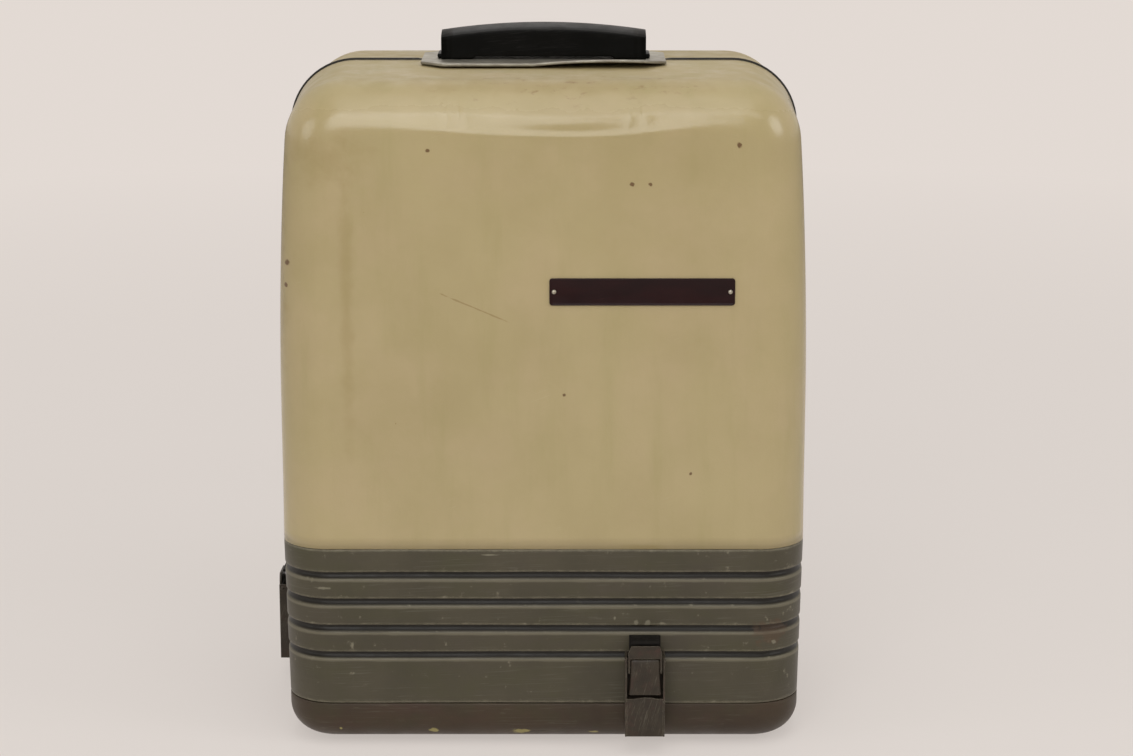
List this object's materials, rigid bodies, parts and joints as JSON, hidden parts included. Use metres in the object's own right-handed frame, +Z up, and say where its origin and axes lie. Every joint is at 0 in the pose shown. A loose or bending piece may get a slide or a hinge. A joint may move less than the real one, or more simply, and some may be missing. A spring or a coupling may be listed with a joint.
{
  "type": "film projector in its carrying case",
  "caption": "Upright portable film projector shut in a two-tone metal case, with a ribbed skirt, a shallow latched tray and a moulded carrying handle.",
  "frame": {"origin": "on the ground under the middle of the case, in the plane of the seam between the two shells", "axes": "+Z up, +X to the right of the front, +Y to the back"},
  "size_m": [0.3206, 0.2185, 0.4111],
  "materials": {
    "beige_paint": "semi-gloss baked enamel, worn",
    "olive_paint": "satin enamel, worn",
    "tray_paint": "satin enamel, worn",
    "bead_trim": "matt",
    "handle_sheet": "dull",
    "moulded_black": "worn gloss",
    "nameplate_enamel": "semi-gloss enamel",
    "latch_steel": "worn enamel",
    "rubber": "matt",
    "casting_paint": "crackle enamel",
    "panel_sheet": "brushed",
    "bright_steel": "ground",
    "plated_steel": "polished",
    "motor_steel": "satin black",
    "shutter_black": "matt black",
    "lamp_house_paint": "heat-proof enamel",
    "brass": "turned",
    "glass": "clear",
    "mirror": "silvered",
    "moulded_dark": "satin"
  },
  "bodies": {
    "tray": {"base_tray": "tray_paint", "rubber_feet": "rubber", "locating_rim": "panel_sheet", "front_latch_channel": "latch_steel", "side_latch_channel": "latch_steel", "base_housing": "casting_paint", "control_panel": "panel_sheet", "power_inlet": "moulded_dark", "inlet_pins": "brass", "motor": "motor_steel", "mech_plate": "casting_paint", "gear_case": "casting_paint", "lamp_house": "lamp_house_paint", "lamp_socket": "moulded_dark", "lamp": "glass", "reflector": "mirror", "condenser_lens": "glass", "aperture_plate": "plated_steel", "guide_rods": "bright_steel", "reel_arms": "panel_sheet"},
    "cover": {"front_shell": "beige_paint", "rear_shell": "beige_paint", "seam_bead": "bead_trim", "skirt": "olive_paint", "nameplate": "nameplate_enamel", "nameplate_rivets": "bright_steel", "handle_plate": "handle_sheet", "latch_keepers": "olive_paint"},
    "handle": {"handle_grip": "moulded_black", "handle_legs": "bright_steel"},
    "front_lever": {"front_latch_lever": "latch_steel"},
    "front_link": {"front_latch_link": "latch_steel"},
    "side_lever": {"side_latch_lever": "latch_steel"},
    "side_link": {"side_latch_link": "latch_steel"},
    "drive": {"main_shaft": "bright_steel", "drive_worms": "bright_steel", "blower_fan": "shutter_black", "drive_mitre_gear": "bright_steel", "inching_knob": "moulded_dark"},
    "shutter": {"shutter_shaft": "bright_steel", "shutter_disc": "shutter_black"},
    "upper_sprocket": {"upper_sprocket": "plated_steel", "upper_worm_wheel": "brass"},
    "lower_sprocket": {"lower_sprocket": "plated_steel", "lower_worm_wheel": "brass"},
    "upper_shoe": {"upper_shoe": "plated_steel"},
    "lower_shoe": {"lower_shoe": "plated_steel"},
    "upper_roller": {"upper_roller": "plated_steel"},
    "lower_roller": {"lower_roller": "plated_steel"},
    "lens_carrier": {"lens_carrier": "casting_paint"},
    "pressure_plate": {"pressure_plate": "plated_steel"},
    "focus_knob": {"focus_knob": "moulded_dark"},
    "lens": {"lens_barrel": "plated_steel", "lens_glass": "glass"},
    "lamp_door": {"lamp_door": "lamp_house_paint"},
    "lamp_switch": {"lamp_switch": "plated_steel"},
    "motor_switch": {"motor_switch": "plated_steel"},
    "speed_knob": {"speed_knob": "moulded_dark"},
    "supply_spindle": {"supply_spindle": "bright_steel"},
    "takeup_spindle": {"takeup_spindle": "bright_steel"}
  },
  "joints": [
    {"name": "cover_lift", "type": "slide", "parent": "tray", "child": "cover", "axis": [0, 0, 1], "range_m": [0, 0.4]},
    {"name": "handle_lift", "type": "slide", "parent": "cover", "child": "handle", "axis": [0, 0, 1], "range_m": [0, 0.02]},
    {"name": "front_lever_swing", "type": "hinge", "parent": "tray", "child": "front_lever", "pos_m": [0.0584, -0.11385, 0.0573], "axis": [-1, 0, 0], "range_deg": [0, 100]},
    {"name": "front_link_swing", "type": "hinge", "parent": "front_lever", "child": "front_link", "pos_m": [0.0584, -0.11505, 0.0513], "axis": [-1, 0, 0], "range_deg": [-100, 0]},
    {"name": "side_lever_swing", "type": "hinge", "parent": "tray", "child": "side_lever", "pos_m": [-0.16309, 0.03641, 0.0573], "axis": [0.0349, 0.9994, 0], "range_deg": [0, 100]},
    {"name": "side_link_swing", "type": "hinge", "parent": "side_lever", "child": "side_link", "pos_m": [-0.16428, 0.03646, 0.0513], "axis": [0.0349, 0.9994, 0], "range_deg": [-100, 0]},
    {"name": "drive_spin", "type": "hinge", "parent": "tray", "child": "drive", "pos_m": [0.062, 0.02, 0.2152], "axis": [0, 0, 1], "continuous": true},
    {"name": "shutter_spin", "type": "hinge", "parent": "tray", "child": "shutter", "pos_m": [0.008, 0.02, 0.2152], "axis": [1, 0, 0], "continuous": true},
    {"name": "upper_sprocket_spin", "type": "hinge", "parent": "tray", "child": "upper_sprocket", "pos_m": [0.038, -0.026, 0.2922], "axis": [0, 1, 0], "continuous": true},
    {"name": "upper_shoe_swing", "type": "hinge", "parent": "tray", "child": "upper_shoe", "pos_m": [0.068, -0.026, 0.2922], "axis": [0, 1, 0], "range_deg": [0, 22]},
    {"name": "upper_roller_spin", "type": "hinge", "parent": "tray", "child": "upper_roller", "pos_m": [0.004, -0.026, 0.2792], "axis": [0, 1, 0], "continuous": true},
    {"name": "lower_sprocket_spin", "type": "hinge", "parent": "tray", "child": "lower_sprocket", "pos_m": [0.038, -0.026, 0.1382], "axis": [0, 1, 0], "continuous": true},
    {"name": "lower_shoe_swing", "type": "hinge", "parent": "tray", "child": "lower_shoe", "pos_m": [0.068, -0.026, 0.1382], "axis": [0, 1, 0], "range_deg": [0, 22]},
    {"name": "lower_roller_spin", "type": "hinge", "parent": "tray", "child": "lower_roller", "pos_m": [0.004, -0.026, 0.1512], "axis": [0, 1, 0], "continuous": true},
    {"name": "gate_open", "type": "slide", "parent": "tray", "child": "lens_carrier", "axis": [1, 0, 0], "range_m": [0, 0.008]},
    {"name": "pressure_plate_travel", "type": "slide", "parent": "lens_carrier", "child": "pressure_plate", "axis": [1, 0, 0], "range_m": [0, 0.0015], "stiffness_N_per_m": 200, "springref_m": -0.004},
    {"name": "lens_focus", "type": "slide", "parent": "lens_carrier", "child": "lens", "axis": [1, 0, 0], "range_m": [0, 0.01]},
    {"name": "focus_turn", "type": "hinge", "parent": "lens_carrier", "child": "focus_knob", "pos_m": [0.059, -0.042, 0.2152], "axis": [0, 1, 0], "range_deg": [0, 143.25]},
    {"name": "lamp_door_swing", "type": "hinge", "parent": "tray", "child": "lamp_door", "pos_m": [-0.1013, -0.059, 0.2152], "axis": [0, 0, 1], "range_deg": [0, 90]},
    {"name": "lamp_switch_throw", "type": "hinge", "parent": "tray", "child": "lamp_switch", "pos_m": [-0.072, -0.0815, 0.0662], "axis": [1, 0, 0], "range_deg": [-15, 15]},
    {"name": "motor_switch_throw", "type": "hinge", "parent": "tray", "child": "motor_switch", "pos_m": [-0.038, -0.0815, 0.0662], "axis": [1, 0, 0], "range_deg": [-15, 15]},
    {"name": "speed_turn", "type": "hinge", "parent": "tray", "child": "speed_knob", "pos_m": [0.052, -0.0795, 0.0662], "axis": [0, 1, 0], "range_deg": [0, 270]},
    {"name": "supply_spindle_spin", "type": "hinge", "parent": "tray", "child": "supply_spindle", "pos_m": [-0.086, 0.034, 0.3045], "axis": [0, 1, 0], "continuous": true},
    {"name": "takeup_spindle_spin", "type": "hinge", "parent": "tray", "child": "takeup_spindle", "pos_m": [-0.046, 0.034, 0.3045], "axis": [0, 1, 0], "continuous": true}
  ],
  "couplings": [
    {"joint": "front_link_swing", "follows": "front_lever_swing", "ratio": -1},
    {"joint": "side_link_swing", "follows": "side_lever_swing", "ratio": -1},
    {"joint": "shutter_spin", "follows": "drive_spin", "ratio": -1},
    {"joint": "upper_sprocket_spin", "follows": "drive_spin", "ratio": 0.083333},
    {"joint": "lower_sprocket_spin", "follows": "drive_spin", "ratio": 0.083333},
    {"joint": "focus_turn", "follows": "lens_focus", "rad_per_m": 250}
  ]
}
